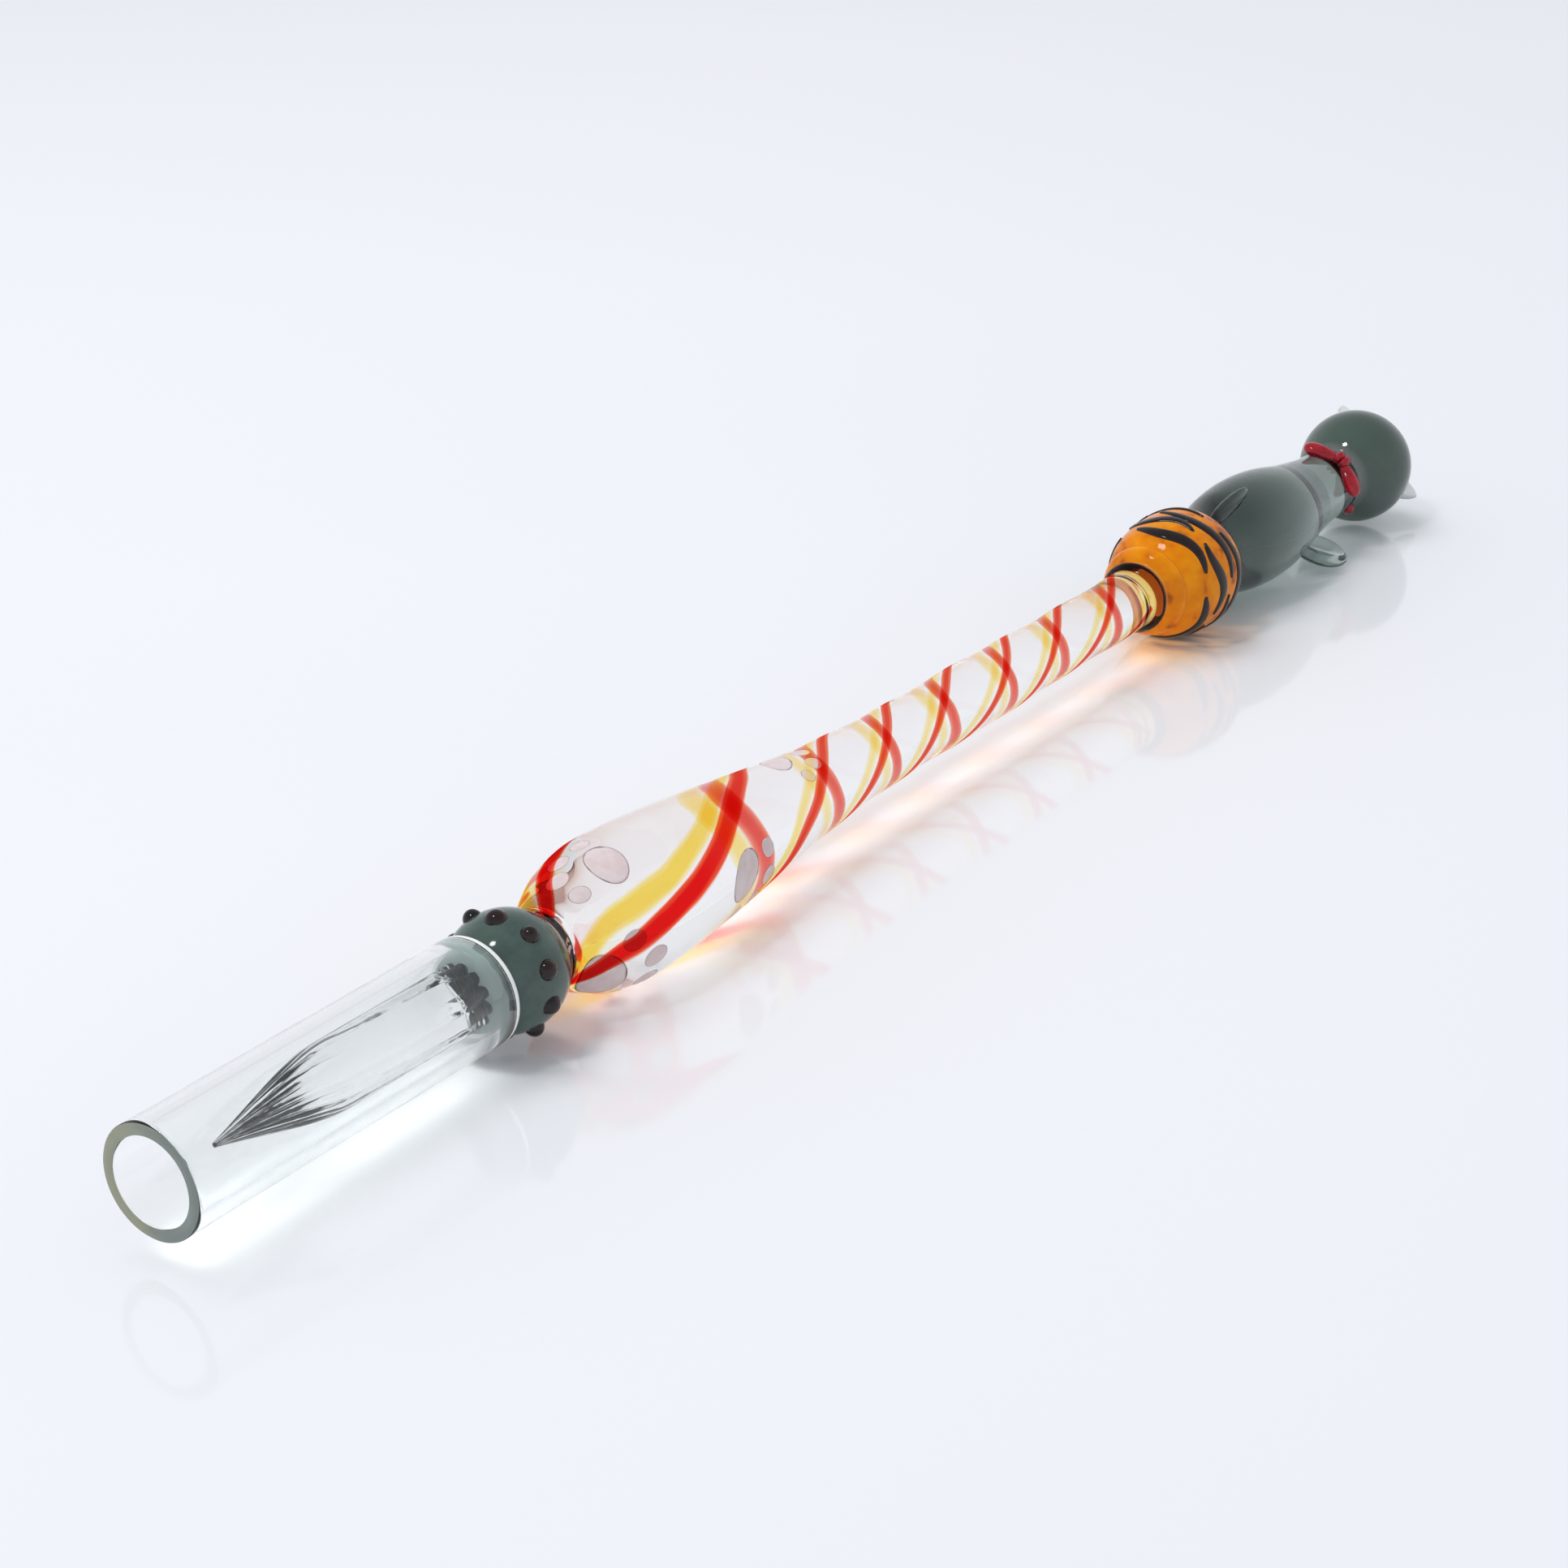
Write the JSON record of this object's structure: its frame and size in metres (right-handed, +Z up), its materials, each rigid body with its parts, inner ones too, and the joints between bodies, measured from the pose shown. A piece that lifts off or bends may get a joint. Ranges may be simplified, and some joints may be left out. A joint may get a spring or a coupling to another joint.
{
  "type": "dip pen",
  "caption": "Lampworked glass dip pen with a fluted nib, a spiral-threaded grip, a cat finial and a slide-off protective tube.",
  "frame": {"origin": "middle of the pen's length and width, on the surface that it lies on", "axes": "+X along the pen from the nib to the cat, +Z up"},
  "size_m": [0.2026, 0.0138, 0.0137],
  "materials": {
    "clear_tube_glass": "polished, sawn rims",
    "nib_glass": "polished, fluted",
    "smoke_glass": "polished",
    "black_glass": "polished",
    "clear_glass": "polished",
    "red_glass": "polished",
    "yellow_glass": "polished",
    "print_glass": "polished",
    "amber_glass": "polished",
    "cat_glass": "polished",
    "ear_glass": "polished",
    "bow_glass": "polished",
    "paw_glass": "polished"
  },
  "bodies": {
    "pen": {"bead": "smoke_glass", "bead_dots": "black_glass", "bell": "amber_glass", "bow_knot": "bow_glass", "bow_left": "bow_glass", "bow_right": "bow_glass", "cat_body": "cat_glass", "cat_head": "cat_glass", "collar_drop": "bow_glass", "ear_left": "ear_glass", "ear_right": "ear_glass", "eyes": "black_glass", "front_paw_left": "paw_glass", "front_paw_right": "paw_glass", "grip_body": "clear_glass", "hind_paw_left": "paw_glass", "hind_paw_right": "paw_glass", "muzzle": "ear_glass", "neck_ring": "amber_glass", "nib": "nib_glass", "nib_collar": "smoke_glass", "nose": "bow_glass", "paw_print_1": "print_glass", "paw_print_2": "print_glass", "paw_print_3": "print_glass", "paw_print_4": "print_glass", "red_thread_1": "red_glass", "red_thread_2": "red_glass", "red_thread_3": "red_glass", "step_ring": "amber_glass", "tail": "paw_glass", "tiger_stripes": "black_glass", "yellow_thread_1": "yellow_glass", "yellow_thread_2": "yellow_glass", "yellow_thread_3": "yellow_glass"},
    "tube": {"protective_tube": "clear_tube_glass"}
  },
  "joints": [
    {"name": "tube_slide", "type": "slide", "parent": "pen", "child": "tube", "axis": [-1, 0, 0], "range_m": [0, 0.045]}
  ]
}
